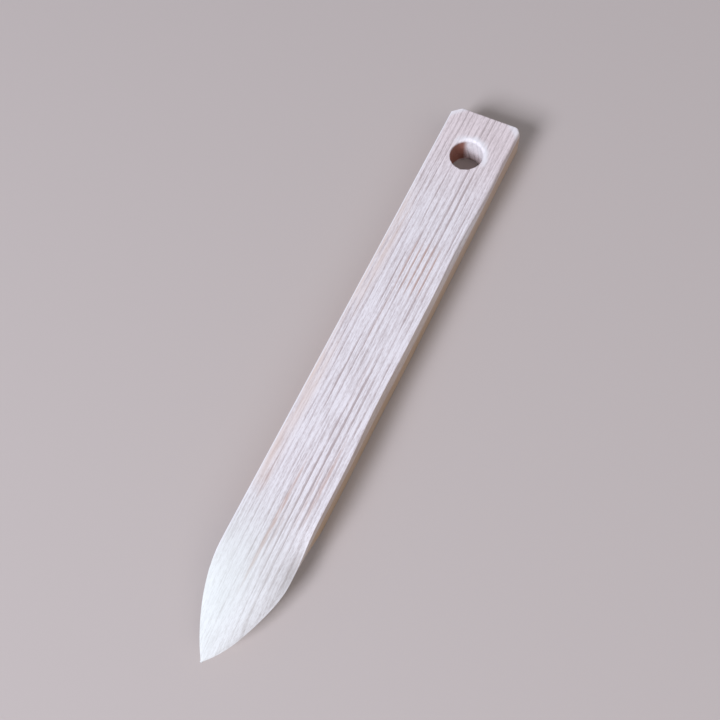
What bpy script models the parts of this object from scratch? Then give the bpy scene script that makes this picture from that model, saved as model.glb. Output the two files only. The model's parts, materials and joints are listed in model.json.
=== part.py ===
"""A one-piece wooden hand tool: a flat bar with a pointed, thinned tip and a hanging hole.

Units are metres.  +X runs along the tool from the butt to the tip, +Y across it and +Z up.
The origin is the middle of the footprint, on the surface that the tool lies on.
"""
import math

import bmesh
import bpy

OBJECT_NAME = "pointed_wooden_tool"
NODE_NAME = "wooden_body"

# Driving dimensions.
LENGTH = 0.1075
WIDTH = 0.0138                # at the butt
RIGHT_TAPER = 0.00035         # how far the right side comes in before the point
THICKNESS = 0.0063
HOLE_DIAMETER = 0.0060
HOLE_FROM_BUTT = 0.0089
HOLE_OFFSET = -0.0003         # the hole sits a little left of the middle
APEX_OFFSET = -0.00060        # and so does the tip
APEX_WIDTH = 0.0004           # the tip is blunt by this much
EDGE_THICKNESS = 0.00035      # what is left of the side face along the point
APEX_DROP = 0.0018            # how far the thin edge lies below the top face
LEFT_POINT_LENGTH = 0.0178    # the curved, narrowing part of the outline
RIGHT_POINT_LENGTH = 0.0171
RIGHT_FLATTENING = 0.00045    # the right arc is cut a little flatter than the left one

# Small cuts at the butt: (along the tool, across the tool).
LEFT_CORNER_CUT = (0.00145, 0.00175)
RIGHT_CORNER_CUT = (0.00090, 0.00090)
ARRIS = 0.00018               # the broken sharp edge of every long side
BEVEL_WIDTH = 0.00050         # the wider bevel along the right top edge
BEVEL_DEPTH = 0.00180
RIM_ARRIS = 0.00020           # the broken edge of the hole

# Where each pared surface starts, as a distance from the tip.  Pairs are (left, right).
TOP_CROWN_START = 0.0222
TOP_EDGE_START = (0.0200, 0.0280)
TOP_EDGE_FULL = (0.0040, 0.0190)
UNDER_CROWN_START = 0.0250
UNDER_EDGE_START = 0.0275
UNDER_EDGE_FULL = 0.0185
CROWN_POWER = 2.2

# Mesh fineness.
POINTS_ACROSS = 11
BODY_STATIONS = 5
POINT_STATIONS = 26
HOLE_STEPS = 56

WOOD_COLOUR = (0.76, 0.66, 0.60, 1.0)
WOOD_ROUGHNESS = 0.62


def clear_scene():
    """Remove every object, so that the script gives the same result in any file."""
    for old_object in list(bpy.data.objects):
        bpy.data.objects.remove(old_object, do_unlink=True)


def new_collection(name):
    """Return an empty collection, linked to the scene."""
    collection = bpy.data.collections.new(name)
    bpy.context.scene.collection.children.link(collection)
    return collection


def wood_material():
    """Pale, straight-grained softwood, planed and unfinished."""
    material = bpy.data.materials.new("pale_softwood")
    material.use_nodes = True
    shader = material.node_tree.nodes["Principled BSDF"]
    shader.inputs["Base Color"].default_value = WOOD_COLOUR
    shader.inputs["Roughness"].default_value = WOOD_ROUGHNESS
    shader.inputs["Metallic"].default_value = 0.0
    return material


def ramp(distance_to_tip, start, full):
    """0 behind the start, 1 past the full depth, and a smooth S between them."""
    t = (start - distance_to_tip) / (start - full)
    t = min(max(t, 0.0), 1.0)
    return t * t * (3.0 - 2.0 * t)


def sink(distance_to_tip, start):
    """0 behind the start, then a curve that steepens all the way to 1 at the tip."""
    t = max(1.0 - distance_to_tip / start, 0.0)
    return t * t


def arch(half_width, point_length, distance_to_tip):
    """Half a pointed arch: half_width behind the point, then an arc that closes on the tip."""
    if distance_to_tip >= point_length:
        return half_width
    radius = (point_length ** 2 + half_width ** 2) / (2.0 * half_width)
    back = point_length - distance_to_tip
    reach = math.sqrt(radius ** 2 - back ** 2) - (radius - half_width)
    return max(reach, APEX_WIDTH / 2.0)


def corner(x, cut):
    """How much a butt corner cut takes off the width, x metres from the butt."""
    cut_along, cut_across = cut
    return cut_across * max(0.0, 1.0 - x / cut_along)


def left_edge(x):
    """Where the left side is, x metres from the butt."""
    half = WIDTH / 2.0 + APEX_OFFSET
    reach = arch(half, LEFT_POINT_LENGTH, LENGTH - x)
    return APEX_OFFSET - min(reach, half - corner(x, LEFT_CORNER_CUT))


def right_edge(x):
    """Where the right side is: it tapers slightly before the point starts."""
    along = min(x / (LENGTH - RIGHT_POINT_LENGTH), 1.0)
    half = WIDTH / 2.0 - RIGHT_TAPER * along - APEX_OFFSET
    part = min((LENGTH - x) / RIGHT_POINT_LENGTH, 1.0)
    reach = arch(half, RIGHT_POINT_LENGTH, LENGTH - x)
    reach = max(reach - RIGHT_FLATTENING * math.sin(math.pi * part) ** 2, APEX_WIDTH / 2.0)
    return APEX_OFFSET + min(reach, half - corner(x, RIGHT_CORNER_CUT))


def top_height(x, share):
    """Height of the upper surface; share runs from -1 at the left edge to 1 at the right."""
    to_tip = LENGTH - x
    side = 1 if share > 0.0 else 0
    crown = APEX_DROP * sink(to_tip, TOP_CROWN_START)
    edge = APEX_DROP * ramp(to_tip, TOP_EDGE_START[side], TOP_EDGE_FULL[side])
    return THICKNESS - crown - (edge - crown) * abs(share) ** CROWN_POWER


def under_height(x, share):
    """Height of the lower surface, pared up towards the thin edge."""
    to_tip = LENGTH - x
    apex_rise = THICKNESS - APEX_DROP - EDGE_THICKNESS
    crown = apex_rise * sink(to_tip, UNDER_CROWN_START)
    edge_top = top_height(x, -1.0 if share <= 0.0 else 1.0)
    edge = (edge_top - EDGE_THICKNESS) * ramp(to_tip, UNDER_EDGE_START, UNDER_EDGE_FULL)
    return crown + (edge - crown) * abs(share) ** CROWN_POWER


def section(x, inset):
    """One closed ring of points around the tool, x metres from the butt."""
    left = left_edge(x) + inset
    right = right_edge(x) - inset
    top_left = top_height(x, -1.0) - inset
    top_right = top_height(x, 1.0) - inset
    under_left = under_height(x, -1.0) + inset
    under_right = under_height(x, 1.0) + inset
    arris = min(ARRIS, (top_left - under_left) * 0.3, (right - left) * 0.15)
    bevel_depth = min(BEVEL_DEPTH, (top_right - under_right) * 0.3)
    bevel_width = BEVEL_WIDTH * bevel_depth / BEVEL_DEPTH
    bevel_width = min(bevel_width, (right - left) * 0.15)
    upper = []
    lower = []
    for step in range(POINTS_ACROSS):
        part = step / (POINTS_ACROSS - 1)
        share = 2.0 * part - 1.0
        y_top = (left + arris) * (1.0 - part) + (right - bevel_width) * part
        y_under = (left + arris) * (1.0 - part) + (right - arris) * part
        upper.append((x, y_top, top_height(x, share) - inset))
        lower.append((x, y_under, under_height(x, share) + inset))
    ring = upper
    ring.append((x, right, top_right - bevel_depth))
    ring.append((x, right, under_right + arris))
    ring.extend(reversed(lower))
    ring.append((x, left, under_left + arris))
    ring.append((x, left, top_left - arris))
    return ring


def station_positions():
    """Distances from the butt, close together where the shape changes."""
    shoulder = LENGTH - max(TOP_EDGE_START)
    butt = [0.0, ARRIS, RIGHT_CORNER_CUT[0], LEFT_CORNER_CUT[0]]
    start = LEFT_CORNER_CUT[0]
    body = [start + (shoulder - start) * (i + 1) / BODY_STATIONS for i in range(BODY_STATIONS)]
    # Even steps of angle bring the stations closer together towards the tip.
    point = []
    for i in range(1, POINT_STATIONS + 1):
        share = math.sin(0.5 * math.pi * i / POINT_STATIONS)
        point.append(shoulder + (LENGTH - shoulder) * share)
    return butt + body + point


def loft_body(name):
    """Skin the sections from butt to tip into one closed mesh, centred on the origin."""
    mesh_builder = bmesh.new()
    rings = []
    for x in station_positions():
        inset = ARRIS if x == 0.0 else 0.0
        points = section(x, inset)
        rings.append([mesh_builder.verts.new((p[0] - LENGTH / 2.0, p[1], p[2])) for p in points])
    for ring, next_ring in zip(rings, rings[1:]):
        count = len(ring)
        for i in range(count):
            j = (i + 1) % count
            mesh_builder.faces.new((ring[i], ring[j], next_ring[j], next_ring[i]))
    mesh_builder.faces.new(rings[0])
    mesh_builder.faces.new(list(reversed(rings[-1])))
    bmesh.ops.recalc_face_normals(mesh_builder, faces=mesh_builder.faces)
    mesh = bpy.data.meshes.new(name)
    mesh_builder.to_mesh(mesh)
    mesh_builder.free()
    return bpy.data.objects.new(name, mesh)


def hole_cutter(name):
    """A turned cutter: a straight drill with a slight flare where it meets each face."""
    radius = HOLE_DIAMETER / 2.0
    beyond = 0.001
    flare = radius + RIM_ARRIS + beyond
    profile = [
        (0.0, THICKNESS + beyond),
        (flare, THICKNESS + beyond),
        (radius, THICKNESS - RIM_ARRIS),
        (radius, RIM_ARRIS),
        (flare, -beyond),
        (0.0, -beyond),
    ]
    mesh = bpy.data.meshes.new(name)
    points = [(r, 0.0, z) for r, z in profile]
    edges = [(i, i + 1) for i in range(len(points) - 1)]
    mesh.from_pydata(points, edges, [])
    cutter = bpy.data.objects.new(name, mesh)
    cutter.location = (HOLE_FROM_BUTT - LENGTH / 2.0, HOLE_OFFSET, 0.0)
    turn = cutter.modifiers.new("turn", "SCREW")
    turn.axis = "Z"
    turn.angle = 2.0 * math.pi
    turn.steps = HOLE_STEPS
    turn.render_steps = HOLE_STEPS
    turn.use_merge_vertices = True
    turn.merge_threshold = 0.00005
    cutter.hide_render = True
    cutter.display_type = "WIRE"
    return cutter


def build():
    """Make the tool and the cutter that drills it."""
    clear_scene()
    parts = new_collection(OBJECT_NAME)
    cutters = new_collection("cutters")

    body = loft_body(NODE_NAME)
    body.data.materials.append(wood_material())
    parts.objects.link(body)

    cutter = hole_cutter("hanging_hole_cutter")
    cutters.objects.link(cutter)

    drill = body.modifiers.new("hanging_hole", "BOOLEAN")
    drill.operation = "DIFFERENCE"
    drill.solver = "EXACT"
    drill.object = cutter

    bpy.context.view_layer.update()
    body.data.shade_smooth()
    body.data.set_sharp_from_angle(angle=math.radians(25.0))


build()
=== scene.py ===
"""The finished look of the one-piece wooden tool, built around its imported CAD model.

Lengths named _MM are in millimetres and are turned into metres where the mesh is made. Lengths in
the shaders are in metres. x runs along the tool from the butt to the tip, y across it and z up, as
in the CAD model. Left is -y and right is +y. Pairs are (left, right).
"""
import json
import math

import bmesh
import bpy
import numpy as np
from mathutils import Matrix, Vector


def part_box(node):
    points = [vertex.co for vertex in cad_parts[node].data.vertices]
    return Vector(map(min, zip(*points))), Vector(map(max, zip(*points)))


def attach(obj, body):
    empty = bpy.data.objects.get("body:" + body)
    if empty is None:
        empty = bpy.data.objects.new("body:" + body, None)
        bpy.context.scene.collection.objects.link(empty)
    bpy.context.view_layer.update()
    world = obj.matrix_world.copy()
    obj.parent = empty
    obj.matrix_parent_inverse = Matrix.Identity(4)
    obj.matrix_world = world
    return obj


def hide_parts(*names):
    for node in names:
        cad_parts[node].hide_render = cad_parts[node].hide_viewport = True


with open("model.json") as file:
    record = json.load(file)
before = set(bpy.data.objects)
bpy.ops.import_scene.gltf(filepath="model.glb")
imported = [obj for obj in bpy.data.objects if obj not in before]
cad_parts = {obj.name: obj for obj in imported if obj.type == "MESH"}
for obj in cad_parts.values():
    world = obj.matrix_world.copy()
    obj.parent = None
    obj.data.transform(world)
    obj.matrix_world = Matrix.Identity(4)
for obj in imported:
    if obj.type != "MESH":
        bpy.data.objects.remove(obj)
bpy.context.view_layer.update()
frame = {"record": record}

NODE = "wooden_body"
BODY = "root"
MM = 0.001

# The CAD model's own size and hole.
node_low, node_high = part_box(NODE)
LENGTH_MM = (node_high.x - node_low.x) / MM
WIDTH_MM = (node_high.y - node_low.y) / MM
THICKNESS_MM = (node_high.z - node_low.z) / MM
hole_box = frame["record"]["physics"]["openings"][0]["box_m"]
HOLE_X_MM = (hole_box[0][0] + hole_box[1][0]) / 2.0 / MM
HOLE_Y_MM = (hole_box[0][1] + hole_box[1][1]) / 2.0 / MM
HOLE_RADIUS_MM = 3.0

# The outline. Corner cuts are (along the tool, across it).
SIDE_LINE_MM = (6.80, 6.86)
RIGHT_TAPER_MM = 0.35
RIGHT_WAVER_MM = 0.03
RIGHT_WAVER_OUT_MM = 0.02
POINT_LENGTH_MM = (17.8, 17.1)
RIGHT_FLATTEN_MM = 0.45
TIP_MARGIN_MM = 0.30
APEX_WIDTH_MM = 0.4
APEX_OFFSET_MM = -0.60
LEFT_CORNER_CUT_MM = (1.45, 1.75)
RIGHT_CORNER_CUT_MM = (0.80, 0.60)

# The paring at the point. Starts and ends are distances from the tip.
EDGE_THICKNESS_MM = 0.35
APEX_DROP_MM = 1.8
TOP_CROWN_START_MM = 22.2
TOP_EDGE_START_MM = (20.0, 28.0)
TOP_EDGE_FULL_MM = (4.0, 19.0)
UNDER_CROWN_START_MM = 25.0
UNDER_EDGE_START_MM = 27.5
UNDER_EDGE_FULL_MM = 18.5

# Roundings of the long edges, and of the butt's edge as (distance from the butt, inset).
LEFT_ROUNDING_MM = 0.11
LOW_ROUNDING_MM = 0.16
BUTT_ROUNDING_MM = ((0.0, 0.22), (0.02, 0.13), (0.07, 0.06), (0.15, 0.02), (0.26, 0.0))

# Where the camera is, what it looks at, and how far it is rolled anticlockwise, in degrees.
CAMERA_PLACE_MM = (23.53, 28.39, 123.79)
CAMERA_TARGET_MM = (-2.84, -1.58, 0.0)
CAMERA_ROLL = -22.37

# How finely the surface is made.
ACROSS = 88
SIDE_STEPS = 16
CORNER_STEPS = 4
BUTT_STATIONS = 20
BLOCK_STATIONS = 45
BODY_STATIONS = 150
POINT_STATIONS = 131
FIRST_STATION_MM = 0.40
POINT_STATIONS_START_MM = 76.0
HOLE_BLOCK_COLUMN = 14
HOLE_BLOCK_HALF_MM = 4.4
RIM_STEPS = 12
RIM_ROUNDING_STEPS = 5
WALL_STEPS = 20


# ---------------------------------------------------------------- noise and growth rings

class SmoothNoise:
    """Smooth random values between -1 and 1 over a 3D lattice that repeats every SIZE cells."""

    SIZE = 64

    def __init__(self, seed):
        self.table = np.random.default_rng(seed).uniform(-1.0, 1.0, (self.SIZE,) * 3)

    def __call__(self, x, y, z):
        x, y, z = np.broadcast_arrays(x, y, z)
        total = np.zeros(x.shape)
        cell = [np.floor(c).astype(int) for c in (x, y, z)]
        part = [c - i for c, i in zip((x, y, z), cell)]
        part = [t * t * (3.0 - 2.0 * t) for t in part]
        for corner in np.ndindex(2, 2, 2):
            weight = np.ones(x.shape)
            index = []
            for axis in range(3):
                weight = weight * (part[axis] if corner[axis] else 1.0 - part[axis])
                index.append((cell[axis] + corner[axis]) % self.SIZE)
            total += weight * self.table[tuple(index)]
        return total


grain_wave = SmoothNoise(11)
fibre_noise = SmoothNoise(23)
plane_noise = SmoothNoise(31)
tear_noise = SmoothNoise(47)

# Ring spacing grows slowly from the left edge to the right edge. One dark line lies at the given
# place, and the rings there carry the given number.
RING_SPACING_MM = 1.10
RING_SPACING_GROWTH = 0.025
DARK_LINE_AT_MM = -0.70
DARK_LINE_NUMBER = 40.94
RING_TILT = 0.16
RING_BOW_MM = 0.45
RING_BOW_CENTRE_MM = -16.3
RING_BOW_REACH_MM = 49.4


def ring_coordinate(x, y, z):
    """Counts growth rings: dark just before each whole number. Arguments in mm."""
    bow = RING_BOW_MM * ((x - RING_BOW_CENTRE_MM) / RING_BOW_REACH_MM) ** 2
    bow = bow * (0.7 + 0.3 * y / (WIDTH_MM / 2.0))
    wave = 0.13 * grain_wave(x / 17.0, y / 2.2, z / 9.0)
    wave = wave + 0.04 * grain_wave(x / 5.5 + 9.0, y / 1.5, z / 4.0)
    place = y - bow + wave + RING_TILT * (z - THICKNESS_MM)
    spacing = np.maximum(RING_SPACING_MM + RING_SPACING_GROWTH * place, 0.2)
    start = math.log(RING_SPACING_MM + RING_SPACING_GROWTH * DARK_LINE_AT_MM)
    return (np.log(spacing) - start) / RING_SPACING_GROWTH + DARK_LINE_NUMBER


def latewood(ring):
    """0 in pale earlywood, rising to 1 in the dark line that ends each ring."""
    part = ring - np.floor(ring)
    darkening = np.clip((part - 0.50) / 0.42, 0.0, 1.0) ** 2
    end = np.clip((1.0 - part) / 0.08, 0.0, 1.0)
    return darkening * end


# ---------------------------------------------------------------- outline and thickness

def rise(value, low, high):
    """A smooth step from 0 at low to 1 at high."""
    t = np.clip((value - low) / (high - low), 0.0, 1.0)
    return t * t * (3.0 - 2.0 * t)


def sink(distance, start):
    """0 behind the start, then a curve that steepens all the way to 1 at the tip."""
    return np.maximum(1.0 - distance / start, 0.0) ** 2


def arch(half, length, to_tip):
    """Half a pointed arch: half behind the point, then an arc that closes on the tip."""
    radius = (length ** 2 + half ** 2) / (2.0 * half)
    back = np.clip(length - to_tip, 0.0, length)
    reach = np.sqrt(radius ** 2 - back ** 2) - (radius - half)
    return np.maximum(reach, APEX_WIDTH_MM / 2.0)


def right_arch(half, to_tip):
    """The right side's arch, cut a little flatter than the left one."""
    part = np.clip(to_tip / POINT_LENGTH_MM[1], 0.0, 1.0)
    flat = RIGHT_FLATTEN_MM * np.sin(math.pi * part) ** 2
    return np.maximum(arch(half, POINT_LENGTH_MM[1], to_tip) - flat, APEX_WIDTH_MM / 2.0)


def corner_cut(from_butt, cut):
    """How much a corner cut takes off the half width."""
    return cut[1] * np.maximum(0.0, 1.0 - from_butt / cut[0])


def side_lines(from_butt):
    """Sideways places of the left and right sides; the right one tapers and is a little uneven."""
    to_tip = LENGTH_MM - TIP_MARGIN_MM - from_butt
    half = SIDE_LINE_MM[0] + APEX_OFFSET_MM
    left = arch(half, POINT_LENGTH_MM[0], to_tip)
    left = np.minimum(left, half - corner_cut(from_butt, LEFT_CORNER_CUT_MM))
    half = SIDE_LINE_MM[1] - APEX_OFFSET_MM
    half = half - RIGHT_TAPER_MM * np.clip(from_butt / (LENGTH_MM - POINT_LENGTH_MM[1]), 0.0, 1.0)
    waver = RIGHT_WAVER_MM * (np.sin(from_butt / 4.1) + np.sin(from_butt / 9.7 + 1.0))
    half = half - np.maximum(waver, -RIGHT_WAVER_OUT_MM)
    right = np.minimum(right_arch(half, to_tip), half - corner_cut(from_butt, RIGHT_CORNER_CUT_MM))
    return APEX_OFFSET_MM - left, APEX_OFFSET_MM + right


def top_height(from_butt, share):
    """Height of the upper surface; share runs from -1 at the left edge to 1 at the right."""
    to_tip = LENGTH_MM - from_butt
    crown = APEX_DROP_MM * sink(to_tip, TOP_CROWN_START_MM)
    left, right = (APEX_DROP_MM * rise(to_tip, start, full)
                   for start, full in zip(TOP_EDGE_START_MM, TOP_EDGE_FULL_MM))
    out = np.abs(share)
    left_drop = (left - crown) * out ** 2.0
    right_drop = (right - crown) * out ** 4.0
    return THICKNESS_MM - crown - np.where(share < 0.0, left_drop, right_drop)


def under_height(from_butt, share):
    """Height of the lower surface, pared up towards the thin edge."""
    to_tip = LENGTH_MM - from_butt
    apex_rise = THICKNESS_MM - APEX_DROP_MM - EDGE_THICKNESS_MM
    crown = apex_rise * sink(to_tip, UNDER_CROWN_START_MM)
    edge_rise = top_height(from_butt, np.where(share < 0.0, -1.0, 1.0)) - EDGE_THICKNESS_MM
    edge = edge_rise * rise(to_tip, UNDER_EDGE_START_MM, UNDER_EDGE_FULL_MM)
    return crown + (edge - crown) * np.abs(share) ** 2.2


def bevel(from_butt):
    """(width, depth, bend) of the worn bevel along the right top edge, widest in the middle."""
    width = 0.12 + 0.33 * rise(from_butt, 14.0, 30.0)
    width = width + 0.16 * np.exp(-((from_butt - 24.0) / 6.0) ** 2)
    width = width - 0.33 * rise(from_butt, 56.0, 72.0)
    depth = 1.4 + 0.8 * rise(from_butt, 20.0, 50.0)
    bend = 2.2 - 0.9 * rise(from_butt, 18.0, 42.0)
    return width, depth, bend


def stations():
    """Places along the tool, measured from the butt, and the first and last of the hole's block."""
    start = HOLE_X_MM + LENGTH_MM / 2.0 - HOLE_BLOCK_HALF_MM
    end = start + 2.0 * HOLE_BLOCK_HALF_MM
    rounding = np.array([place for place, inset in BUTT_ROUNDING_MM])
    butt = np.linspace(FIRST_STATION_MM, start, BUTT_STATIONS)
    block = np.linspace(start, end, BLOCK_STATIONS)[1:]
    body = np.linspace(end, POINT_STATIONS_START_MM, BODY_STATIONS)[1:]
    angle = np.linspace(0.0, math.pi / 2.0, POINT_STATIONS)[1:]
    reach = LENGTH_MM - TIP_MARGIN_MM - POINT_STATIONS_START_MM
    point = POINT_STATIONS_START_MM + reach * np.sin(angle) ** 0.9
    first = len(rounding) + len(butt) - 1
    return np.concatenate((rounding, butt, block, body, point)), first, first + len(block)


def ring_points(from_butt, inset):
    """The closed ring of points around the tool at each station, as an array (station, point, 3)."""
    u = from_butt[:, None]
    gap = inset[:, None]
    left, right = (line[:, None] for line in side_lines(from_butt))
    left = left + gap
    right = right - gap
    left_top, right_top = (top_height(u, share) - gap for share in (-1.0, 1.0))
    left_under, right_under = (under_height(u, share) + gap for share in (-1.0, 1.0))
    tall = right_top - right_under
    wide = right - left
    full_width, full_depth, bend = (b[:, None] for b in bevel(from_butt))
    bevel_depth = np.minimum(full_depth, 0.36 * tall)
    bevel_width = np.minimum(full_width * bevel_depth / full_depth, 0.1 * wide)
    radius_left = np.minimum(0.4 * (left_top - left_under), 0.1 * wide)
    radius_left = np.minimum(LEFT_ROUNDING_MM, radius_left)
    radius_top = 0.14 + 0.36 * rise(u, 36.0, 16.0)
    radius_top = np.minimum(radius_top, np.minimum(0.3 * tall, 0.08 * wide))
    radius_low = np.minimum(LOW_ROUNDING_MM, np.minimum(0.3 * tall, 0.1 * wide))

    share = np.linspace(-1.0, 1.0, ACROSS + 1)[None, :]
    turn = np.linspace(0.0, math.pi / 2.0, CORNER_STEPS + 1)[1:][None, :]
    down = np.linspace(0.0, 1.0, SIDE_STEPS + 1)[1:][None, :]

    def at_stations(y, z):
        """Points from their places across and their heights."""
        return np.stack((np.broadcast_to(u, y.shape), y, z), -1)

    def spread(first, last):
        """Places across, evenly from the first to the last."""
        return first + (last - first) * (share + 1.0) / 2.0

    def flank(side, outward, top, under, r_top, r_low, lean, depth, power):
        """Points down one side: upper rounding, leaning bevel, side and lower rounding."""
        y_upper = lean + r_top * (1.0 - np.sin(turn))
        z_upper = top - r_top * (1.0 - np.cos(turn))
        z_side = (top - r_top) + ((under + r_low) - (top - r_top)) * down
        part = np.clip(1.0 - (top - r_top - z_side) / np.maximum(depth, 0.01), 0.0, 1.0)
        y_side = lean * part ** power
        y_lower = r_low * (1.0 - np.cos(turn))
        z_lower = (under + r_low) - r_low * np.sin(turn)
        inward = np.concatenate((y_upper, y_side, y_lower[:, :-1]), 1)
        heights = np.concatenate((z_upper, z_side, z_lower[:, :-1]), 1)
        return at_stations(side - outward * inward, heights)

    y_top = spread(left + radius_left, right - bevel_width - radius_top)
    y_under = spread(left + radius_left, right - radius_low)
    upper = at_stations(y_top, top_height(u, share) - gap)
    lower = at_stations(y_under, under_height(u, share) + gap)
    right_flank = flank(right, 1.0, right_top, right_under, radius_top, radius_low,
                        bevel_width, bevel_depth, bend)
    no_bevel = np.zeros_like(left)
    left_flank = flank(left, -1.0, left_top, left_under, radius_left, radius_left,
                       no_bevel, no_bevel, 1.0)
    return np.concatenate((upper, right_flank, lower[:, ::-1], left_flank[:, ::-1]), 1)


# ---------------------------------------------------------------- the mesh

class Builder:
    """Collects points in millimetres, faces, and a tag that is 1 on the points of the hole."""

    def __init__(self):
        self.points = []
        self.faces = []
        self.tags = []

    def add(self, point, tag=0.0):
        self.points.append(tuple(point))
        self.tags.append(tag)
        return len(self.points) - 1

    def add_loop(self, x, y, z, tag=0.0):
        """Add a loop of points and return their numbers."""
        return [self.add(point, tag) for point in zip(x, y, z)]

    def quad(self, a, b, c, d):
        self.faces.append((a, b, c, d))


def coons_cap(builder, top, bottom, left, right):
    """Fill a four-sided loop of existing points with a grid."""
    rows = len(left)
    columns = len(top)
    p = np.array(builder.points)
    grid = np.zeros((rows, columns), int)
    grid[0], grid[-1], grid[:, 0], grid[:, -1] = top, bottom, left, right
    for i in range(1, rows - 1):
        for j in range(1, columns - 1):
            v = i / (rows - 1)
            h = j / (columns - 1)
            edge = (1 - v) * p[top[j]] + v * p[bottom[j]] + (1 - h) * p[left[i]] + h * p[right[i]]
            corners = (1 - v) * ((1 - h) * p[top[0]] + h * p[top[-1]])
            corners = corners + v * ((1 - h) * p[bottom[0]] + h * p[bottom[-1]])
            grid[i, j] = builder.add(edge - corners)
    for i in range(rows - 1):
        for j in range(columns - 1):
            builder.quad(grid[i, j], grid[i, j + 1], grid[i + 1, j + 1], grid[i + 1, j])


BLOCK_COLUMNS = (HOLE_BLOCK_COLUMN, ACROSS - HOLE_BLOCK_COLUMN)
UNDER_START = ACROSS + 1 + 2 * CORNER_STEPS + SIDE_STEPS - 1


def under(column):
    """The place in a ring of the underside point below a column of the upper face."""
    return UNDER_START + ACROSS - column


def add_skin(builder, along, first, last):
    """Everything but the two ends and the hole's block. Returns the grid of point numbers."""
    inset = np.zeros(len(along))
    inset[:len(BUTT_ROUNDING_MM)] = [gap for place, gap in BUTT_ROUNDING_MM]
    rings = ring_points(along, inset)
    rings[..., 0] -= LENGTH_MM / 2.0
    count = rings.shape[1]
    k0, k1 = BLOCK_COLUMNS
    index = -np.ones((len(along), count), int)
    for i in range(len(along)):
        for j in range(count):
            in_block = k0 < j < k1 or under(k1) < j < under(k0)
            if not (first < i < last and in_block):
                index[i, j] = builder.add(rings[i, j])
    for i in range(len(along) - 1):
        for j in range(count):
            in_block = k0 <= j < k1 or under(k1) <= j < under(k0)
            if not (first <= i < last and in_block):
                n = (j + 1) % count
                builder.quad(index[i, j], index[i + 1, j], index[i + 1, n], index[i, n])
    return index


def add_end_caps(builder, index):
    """Close the butt and the blunt tip."""
    count = index.shape[1]
    top = list(range(ACROSS + 1))
    bottom = [under(k) for k in range(ACROSS + 1)]
    right = [ACROSS] + list(range(ACROSS + 1, UNDER_START)) + [under(ACROSS)]
    left = [0] + list(range(count - 1, under(0), -1)) + [under(0)]
    butt = [[index[0, j] for j in loop] for loop in (top, bottom, left, right)]
    coons_cap(builder, *butt)
    tip = [[index[-1, j] for j in loop] for loop in (top[::-1], bottom[::-1], right, left)]
    coons_cap(builder, *tip)


def rim_tear(angle, seed):
    """Where the drill left torn fibre ends: only where the rim crosses the grain."""
    y = HOLE_RADIUS_MM * np.sin(angle)
    towards_tip = np.cos(angle) > 0.0
    ragged = tear_noise(y / 0.21, seed, 7.0 * towards_tip)
    coarse = tear_noise(y / 0.55, seed + 9.0, 3.0 * towards_tip)
    return 0.16 * np.abs(np.cos(angle)) * np.clip(0.6 * ragged + 0.6 * coarse, -0.6, 1.0)


def add_hole(builder, index, first, last):
    """Rings of points from the block's edge to the rim on each face, and the hole's wall."""
    k0, k1 = BLOCK_COLUMNS

    def block_loop(column):
        """The block's boundary, counter-clockwise seen from above."""
        loop = [(i, k0) for i in range(first, last)]
        loop += [(last, k) for k in range(k0, k1)]
        loop += [(i, k1) for i in range(last, first, -1)]
        loop += [(first, k) for k in range(k1, k0, -1)]
        return [index[i, column(k)] for i, k in loop]

    outer_top = block_loop(lambda k: k)
    p = np.array([builder.points[i] for i in outer_top])
    angle = np.arctan2(p[:, 1] - HOLE_Y_MM, p[:, 0] - HOLE_X_MM)

    def around(radius):
        """Places on a circle about the hole's axis."""
        return HOLE_X_MM + radius * np.cos(angle), HOLE_Y_MM + radius * np.sin(angle)

    def face_rings(outer, torn, ease, height, sign):
        """Rings of points on one face, in to its rounded rim."""
        rings = [outer]
        start = np.array([builder.points[i] for i in outer])
        rim_x, rim_y = around(HOLE_RADIUS_MM + ease + torn)
        for t in np.linspace(0.0, 1.0, RIM_STEPS + 1)[1:-1] ** 0.75:
            x = start[:, 0] + (rim_x - start[:, 0]) * t
            y = start[:, 1] + (rim_y - start[:, 1]) * t
            rings.append(builder.add_loop(x, y, np.full_like(x, height)))
        for turn in np.linspace(0.0, math.pi / 2.0, RIM_ROUNDING_STEPS):
            x, y = around(HOLE_RADIUS_MM + torn * math.cos(turn) + ease * (1.0 - math.sin(turn)))
            z = height - sign * ease * (1.0 - math.cos(turn))
            rings.append(builder.add_loop(x, y, z, 1.0))
        return rings

    worn = rise(np.cos(angle - math.radians(150.0)), -0.2, 0.8)
    ease_top = 0.14 + 0.42 * worn
    ease_under = np.full_like(angle, 0.20)
    upper = face_rings(outer_top, rim_tear(angle, 0.0), ease_top, THICKNESS_MM, 1.0)
    lower = face_rings(block_loop(under), rim_tear(angle, 5.0), ease_under, 0.0, -1.0)
    wall = []
    for t in np.linspace(0.0, 1.0, WALL_STEPS + 1)[1:-1]:
        z = (THICKNESS_MM - ease_top) * (1.0 - t) + ease_under * t
        rough = 0.05 * fibre_noise(angle * 9.0, z * 2.5, 3.0)
        x, y = around(HOLE_RADIUS_MM + np.minimum(rough, 0.02))
        wall.append(builder.add_loop(x, y, z, 1.0))
    bands = upper + wall + lower[::-1]
    steps = len(angle)
    for band, following in zip(bands, bands[1:]):
        for j in range(steps):
            n = (j + 1) % steps
            builder.quad(band[j], band[n], following[n], following[j])


def build_surface():
    """The whole skin of the tool, with the hole through it, before grain relief."""
    along, first, last = stations()
    builder = Builder()
    index = add_skin(builder, along, first, last)
    add_end_caps(builder, index)
    add_hole(builder, index, first, last)
    return builder


# ---------------------------------------------------------------- relief and painted layers

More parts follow.
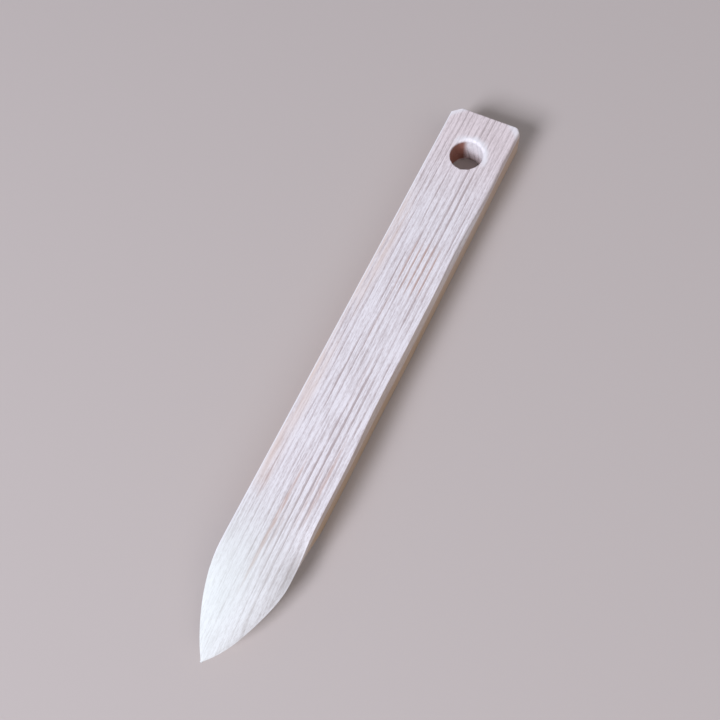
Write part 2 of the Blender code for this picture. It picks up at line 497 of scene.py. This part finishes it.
def painted_bore_shade(x, y, z, in_bore):
    """How much brown painted shade lies on the wall of the hole: darkest on its left, towards the tip and
    deep inside.
    """
    turned = np.arctan2(y - HOLE_Y_MM, x - HOLE_X_MM)
    away = np.cos(turned - math.radians(-38.0))
    deep = rise(np.minimum(THICKNESS_MM - z, z), 0.15, 0.7)
    return in_bore * deep * rise(away, -0.62, -0.25)


def rim_bruise_and_highlight(x, y, z):
    """Bleached, bruised fibres around the butt side of the hole's upper rim, with a painted highlight on
    the rim where it faces the light.
    """
    distance = np.hypot(x - HOLE_X_MM, y - HOLE_Y_MM)
    turned = np.arctan2(y - HOLE_Y_MM, x - HOLE_X_MM)
    ragged = 0.35 * tear_noise(x / 1.4, y / 0.4, 2.0)
    near = rise(distance + ragged, 4.7, 3.3)
    facing = rise(np.cos(turned - math.radians(158.0)), -0.15, 0.55)
    # On the rim itself the pale colour is a painted highlight as well as bruise.
    return near * facing * rise(z, 1.0, 4.5) * (0.75 + 0.25 * rise(distance, 3.2, 3.7))


def painted_side_shade(x, y, z, normals, in_bore):
    """How strongly the warm painted shade of the side faces shows: less on the right bevel, none at the
    point.
    """
    from_butt = x + LENGTH_MM / 2.0
    side = rise(np.abs(normals[:, 1]), 0.45, 0.85)
    bevel_low = THICKNESS_MM - bevel(from_butt)[1]
    low = rise(z, bevel_low + 0.25, bevel_low - 0.25)
    low = np.where(y < 0.0, rise(z, THICKNESS_MM, THICKNESS_MM - 0.3), low)
    on_bevel = 0.10 + 0.35 * rise(from_butt, 22.0, 40.0)
    side = side * (on_bevel + (1.0 - on_bevel) * low)
    side = side * (0.80 + 0.20 * rise(from_butt, 15.0, 45.0))
    return side * rise(LENGTH_MM / 2.0 - x, 16.0, 26.0) * (1.0 - in_bore)


def relief_depth(x, y, z, ring):
    """How far the surface is pushed in, in mm: soft earlywood, fibres and plane marks."""
    depth = 0.010 * (1.0 - latewood(ring))
    depth = depth + 0.007 * (1.0 + fibre_noise(x / 3.0, y / 0.22, z / 0.22))
    depth = depth + 0.014 * (1.0 + plane_noise(x / 14.0, y / 5.0, z / 5.0))
    return depth * np.clip((LENGTH_MM / 2.0 - x) / 3.0, 0.15, 1.0)


def make_body():
    """The visible tool: the skin with its relief, and the layers that the material reads."""
    builder = build_surface()
    points = np.array(builder.points)
    in_bore = np.array(builder.tags)
    mesh = bpy.data.meshes.new("tool_skin")
    mesh.from_pydata((points * MM).tolist(), [], builder.faces)
    work = bmesh.new()
    work.from_mesh(mesh)
    bmesh.ops.recalc_face_normals(work, faces=work.faces)
    work.to_mesh(mesh)
    work.free()
    normals = np.zeros(len(points) * 3)
    mesh.vertex_normals.foreach_get("vector", normals)
    normals = normals.reshape(-1, 3)
    x, y, z = points.T
    ring = ring_coordinate(x, y, z)
    layers = {
        "ring": ring,
        "side": painted_side_shade(x, y, z, normals, in_bore),
        "end": rise(np.abs(normals[:, 0]), 0.6, 0.85) * (1.0 - in_bore),
        "bore": painted_bore_shade(x, y, z, in_bore),
        "halo": rim_bruise_and_highlight(x, y, z),
    }
    for name, values in layers.items():
        layer = mesh.attributes.new(name, "FLOAT", "POINT")
        layer.data.foreach_set("value", values.astype(np.float32))
    points = points - normals * relief_depth(x, y, z, ring)[:, None]
    mesh.vertices.foreach_set("co", (points * MM).ravel())
    mesh.update()
    mesh.shade_smooth()
    body = bpy.data.objects.new("wooden_tool", mesh)
    bpy.context.scene.collection.objects.link(body)
    return body


# ---------------------------------------------------------------- materials

class Nodes:
    """Short calls for the shader nodes used here."""

    def __init__(self, name):
        self.material = bpy.data.materials.new(name)
        self.material.use_nodes = True
        self.tree = self.material.node_tree
        self.shader = self.tree.nodes["Principled BSDF"]

    def set_input(self, socket, value):
        if isinstance(value, bpy.types.NodeSocket):
            self.tree.links.new(value, socket)
        else:
            socket.default_value = value

    def math(self, operation, a, b=0.0, clamp=False):
        node = self.tree.nodes.new("ShaderNodeMath")
        node.operation = operation
        node.use_clamp = clamp
        for socket, value in zip(node.inputs, (a, b)):
            self.set_input(socket, value)
        return node.outputs[0]

    def plus(self, a, b, clamp=False):
        return self.math("ADD", a, b, clamp)

    def times(self, a, b, clamp=False):
        return self.math("MULTIPLY", a, b, clamp)

    def apart(self, a, b):
        """How far a is from b, as a positive number."""
        return self.math("ABSOLUTE", self.math("SUBTRACT", a, b))

    def between(self, value, low, high, to_low=0.0, to_high=1.0):
        """A smooth step from to_low to to_high as value goes from low to high."""
        node = self.tree.nodes.new("ShaderNodeMapRange")
        node.interpolation_type = "SMOOTHSTEP"
        for socket, item in zip(node.inputs, (value, low, high, to_low, to_high)):
            self.set_input(socket, item)
        return node.outputs[0]

    def attribute(self, name):
        node = self.tree.nodes.new("ShaderNodeAttribute")
        node.attribute_name = name
        return node.outputs["Fac"]

    def noise(self, vector, scale, detail, roughness, seed):
        """Noise stretched by a different frequency along each axis."""
        mapping = self.tree.nodes.new("ShaderNodeMapping")
        mapping.inputs["Location"].default_value = (seed, seed * 1.7, seed * 2.3)
        mapping.inputs["Scale"].default_value = scale
        self.tree.links.new(vector, mapping.inputs["Vector"])
        node = self.tree.nodes.new("ShaderNodeTexNoise")
        node.inputs["Scale"].default_value = 1.0
        node.inputs["Detail"].default_value = detail
        node.inputs["Roughness"].default_value = roughness
        self.tree.links.new(mapping.outputs["Vector"], node.inputs["Vector"])
        return node.outputs["Fac"]

    def colour_mix(self, amount, a, b):
        """Mix two colours by amount. The colour sockets of a mix node are 6 and 7, and output 2."""
        node = self.tree.nodes.new("ShaderNodeMix")
        node.data_type = "RGBA"
        self.set_input(node.inputs[0], amount)
        self.set_input(node.inputs[6], a)
        self.set_input(node.inputs[7], b)
        return node.outputs[2]


EARLYWOOD = (0.910, 0.870, 0.870, 1.0)
HANDLED_WOOD = (0.880, 0.775, 0.760, 1.0)
LATEWOOD = (0.500, 0.420, 0.405, 1.0)
RED_STREAK = (0.540, 0.345, 0.270, 1.0)
WARM_WOOD = (0.800, 0.650, 0.560, 1.0)
# Paler, cooler wood at the point: partly fresh pared wood, partly painted light.
PARED_AND_LIT = (0.800, 0.870, 0.790, 1.0)
# Whitish: bruised wood at the butt corners, and painted highlight on the left edge and round the hole's
# lit rim.
BRUISED_AND_HIGHLIGHT = (0.940, 0.930, 0.930, 1.0)
# Painted shade: the warm tan that the side faces show in shade.
SIDE_SHADE_TAN = (0.535, 0.358, 0.205, 1.0)
END_GRAIN = (0.560, 0.440, 0.330, 1.0)
# Painted shade for the wall of the hole.
BORE_DARK = (0.310, 0.105, 0.060, 1.0)
FLOOR_COLOUR = (0.56, 0.50, 0.46, 1.0)

# Reddish bands in the upper face: (middle, half length, place across, half width, strength).
RED_BANDS = (
    (0.0290, 0.0140, -0.0002, 0.00045, 0.80),
    (0.0200, 0.0100, 0.0043, 0.00045, 0.55),
    (0.0230, 0.0080, 0.0031, 0.00028, 0.38),
    (0.0300, 0.0060, 0.0009, 0.00025, 0.30),
    (0.0240, 0.0035, -0.0048, 0.00060, 0.35),
    (-0.0100, 0.0090, -0.0007, 0.00022, 0.22),
    (0.0020, 0.0080, 0.0018, 0.00022, 0.22),
)


def growth_lines(n, place, x, y):
    """(dark, faint): the dark line that ends each ring, and weaker lines within the rings."""
    ring = n.attribute("ring")
    part = n.math("FRACT", ring)
    ring_number = n.tree.nodes.new("ShaderNodeTexWhiteNoise")
    ring_number.noise_dimensions = "1D"
    n.set_input(ring_number.inputs["W"], n.math("FLOOR", ring))
    strength = n.between(ring_number.outputs["Value"], 0.0, 1.0, 0.60, 1.05)
    drift = n.noise(place, (60.0, 420.0, 420.0), 2.0, 0.5, 3.0)
    strength = n.times(strength, n.between(drift, 0.32, 0.68, 0.40, 1.25))
    middle = n.between(n.apart(y, 0.0009), 0.0052, 0.0026, 0.50, 1.0)
    middle = n.times(middle, n.between(x, 0.030, 0.046, 1.0, 0.50))
    dark = n.times(n.between(part, 0.50, 0.91), n.between(part, 1.0, 0.91))
    dark = n.times(dark, n.times(strength, middle))

    part = n.math("FRACT", n.times(ring, 2.63))
    faint = n.times(n.between(part, 0.35, 0.80), n.between(part, 1.0, 0.85))
    drift = n.noise(place, (120.0, 900.0, 900.0), 1.0, 0.5, 6.0)
    return dark, n.times(faint, n.between(drift, 0.42, 0.66, 0.0, 0.30))


def warm_edge(n, place, x, y):
    """A cloudy, warmer zone along the left edge, in the middle of the tool's length."""
    warm = n.times(n.between(y, -0.0036, -0.0062), n.between(x, -0.040, -0.026))
    warm = n.times(warm, n.between(x, 0.027, 0.023))
    cloud = n.noise(place, (70.0, 700.0, 700.0), 2.0, 0.5, 2.0)
    return n.times(warm, n.between(cloud, 0.30, 0.65))


def red_streaks(n, place, x, y, dark):
    """Reddish dashes on the dark lines behind the middle, and the listed bands."""
    dashes = n.times(n.between(x, -0.027, -0.024), n.between(x, -0.014, -0.018))
    dashes = n.times(dashes, n.between(n.apart(y, 0.0016), 0.0036, 0.0020))
    dashes = n.times(dashes, n.between(dark, 0.10, 0.45))
    streaks = n.times(dashes, 0.62)
    for centre, half_length, across, half_width, depth in RED_BANDS:
        along = n.math("DIVIDE", n.math("SUBTRACT", x, centre), half_length)
        sideways = n.math("DIVIDE", n.math("SUBTRACT", y, across), half_width)
        reach = n.plus(n.times(along, along), n.times(sideways, sideways))
        streaks = n.plus(streaks, n.between(reach, 1.0, 0.0, 0.0, depth))
    broken = n.noise(place, (420.0, 3600.0, 3600.0), 1.0, 0.4, 8.0)
    return n.times(streaks, n.between(broken, 0.25, 0.60, 0.35, 1.0), clamp=True)


def wood_material():
    """Quarter-sawn pale softwood: growth rings, fibres, red streaks, a paler point that is partly painted
    light, painted shade on the sides and in the hole, and painted highlights.
    """
    n = Nodes("pale_softwood")
    place = n.tree.nodes.new("ShaderNodeTexCoord").outputs["Object"]
    split = n.tree.nodes.new("ShaderNodeSeparateXYZ")
    n.tree.links.new(place, split.inputs["Vector"])
    x, y, z = split.outputs
    dark, faint = growth_lines(n, place, x, y)
    fibre = n.noise(place, (210.0, 2700.0, 2700.0), 3.0, 0.7, 1.0)
    fine = n.noise(place, (1300.0, 6800.0, 6800.0), 2.0, 0.6, 5.0)

    fibre_shift = n.times(n.math("SUBTRACT", fibre, 0.5), 1.75)
    fine_shift = n.times(n.math("SUBTRACT", fine, 0.5), 1.3)
    darkness = n.plus(n.plus(dark, faint), n.plus(fibre_shift, fine_shift))
    darkness = n.plus(darkness, 0.17, clamp=True)
    pale = n.colour_mix(n.between(x, -0.030, -0.050), EARLYWOOD, HANDLED_WOOD)
    colour = n.colour_mix(darkness, pale, LATEWOOD)

    # Paler towards the point and strongest on its left: partly fresh pared wood, partly painted light
    # where the point tilts towards the light.
    pared_and_lit_point = n.times(n.between(x, 0.018, 0.044), n.between(y, 0.0065, -0.0040, 0.45, 1.0))
    upper = n.between(z, 0.0052, 0.0061)
    # Painted highlight along the top of the left edge, where its rounding catches the light; worn also
    # carries the rim's bruise and painted highlight.
    painted_edge_highlight = n.times(n.between(y, -0.00640, -0.00668), n.times(upper, 0.8))
    worn = n.math("MAXIMUM", painted_edge_highlight, n.times(n.attribute("halo"), 0.85))
    corner = n.plus(n.times(n.math("ABSOLUTE", y), 0.9), n.times(x, -1.0))
    corner = n.times(n.between(corner, 0.0567, 0.0580), upper)
    # Painted shade on the side faces, broken up by the fibres.
    sawn = n.times(n.attribute("side"), n.between(fibre, 0.32, 0.68, 1.0, 0.72))
    for amount, tone in (
        (n.times(warm_edge(n, place, x, y), 0.78), WARM_WOOD),
        (red_streaks(n, place, x, y, dark), RED_STREAK),
        (n.times(pared_and_lit_point, 0.62), PARED_AND_LIT),
        # Painted highlights on the left edge and the hole's lit rim, with the rim's bruised fibres.
        (worn, BRUISED_AND_HIGHLIGHT),
        (n.times(corner, 0.6), BRUISED_AND_HIGHLIGHT),
        (sawn, SIDE_SHADE_TAN),
        (n.times(n.attribute("end"), 0.60), END_GRAIN),
        # Painted shade on the wall of the hole.
        (n.times(n.attribute("bore"), 0.93), BORE_DARK),
    ):
        colour = n.colour_mix(amount, colour, tone)
    n.set_input(n.shader.inputs["Base Color"], colour)

    rough = n.plus(n.between(fibre, 0.2, 0.8, 0.54, 0.70), n.times(dark, -0.08))
    n.set_input(n.shader.inputs["Roughness"], rough)
    n.shader.inputs["Specular IOR Level"].default_value = 0.35
    bump = n.tree.nodes.new("ShaderNodeBump")
    bump.inputs["Strength"].default_value = 0.35
    bump.inputs["Distance"].default_value = 0.00003
    height = n.plus(n.plus(fibre, n.times(fine, 0.5)), n.times(dark, 0.6))
    n.set_input(bump.inputs["Height"], height)
    n.set_input(n.shader.inputs["Normal"], bump.outputs["Normal"])
    return n.material


def floor_material():
    """Plain, pale and matt."""
    n = Nodes("pale_floor")
    n.shader.inputs["Base Color"].default_value = FLOOR_COLOUR
    n.shader.inputs["Roughness"].default_value = 0.85
    n.shader.inputs["Specular IOR Level"].default_value = 0.2
    return n.material


# ---------------------------------------------------------------- stage, light and camera

def add_floor():
    """A plain floor just under the tool."""
    half = 1.5
    corners = [(-half, -half, 0.0), (half, -half, 0.0), (half, half, 0.0), (-half, half, 0.0)]
    mesh = bpy.data.meshes.new("floor")
    mesh.from_pydata(corners, [], [(0, 1, 2, 3)])
    floor = bpy.data.objects.new("floor", mesh)
    floor.location.z = -0.00005
    floor.data.materials.append(floor_material())
    bpy.context.scene.collection.objects.link(floor)


def add_light(name, azimuth, elevation, distance, size, power, colour):
    """A square soft box that points at the tool, from an azimuth (0 is +X) and an elevation."""
    light = bpy.data.lights.new(name, "AREA")
    light.size = size
    light.energy = power
    light.color = colour
    lamp = bpy.data.objects.new(name, light)
    a = math.radians(azimuth)
    e = math.radians(elevation)
    lamp.location = distance * Vector((math.cos(e) * math.cos(a), math.cos(e) * math.sin(a), math.sin(e)))
    lamp.rotation_euler = (-lamp.location).to_track_quat("-Z", "Y").to_euler()
    bpy.context.scene.collection.objects.link(lamp)


def add_world():
    """A cool, even sky."""
    world = bpy.data.worlds.new("sky")
    world.use_nodes = True
    background = world.node_tree.nodes["Background"]
    background.inputs["Color"].default_value = (0.86, 0.87, 1.0, 1.0)
    background.inputs["Strength"].default_value = 0.30
    bpy.context.scene.world = world


def add_camera():
    """Close above the tool, looking at its middle, turned so that the tip is at the lower left."""
    camera_data = bpy.data.cameras.new("camera")
    camera_data.sensor_width = 36.0
    camera_data.lens = 36.0
    camera_data.clip_start = 0.005
    camera = bpy.data.objects.new("camera", camera_data)
    place = MM * Vector(CAMERA_PLACE_MM)
    look = (MM * Vector(CAMERA_TARGET_MM) - place).to_track_quat("-Z", "Y").to_matrix().to_4x4()
    roll = Matrix.Rotation(math.radians(CAMERA_ROLL), 4, "Z")
    camera.matrix_world = Matrix.Translation(place) @ look @ roll
    bpy.context.scene.collection.objects.link(camera)
    bpy.context.scene.camera = camera


body = make_body()
body.data.materials.append(wood_material())
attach(body, BODY)
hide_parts(NODE)

add_floor()
add_light("window", -21.0, 39.0, 1.10, 0.42, 11.6, (0.92, 0.95, 1.10))
add_light("fill", 80.0, 50.0, 0.90, 0.60, 1.3, (1.0, 0.96, 0.93))
add_world()
add_camera()
bpy.context.scene.view_settings.view_transform = "Standard"
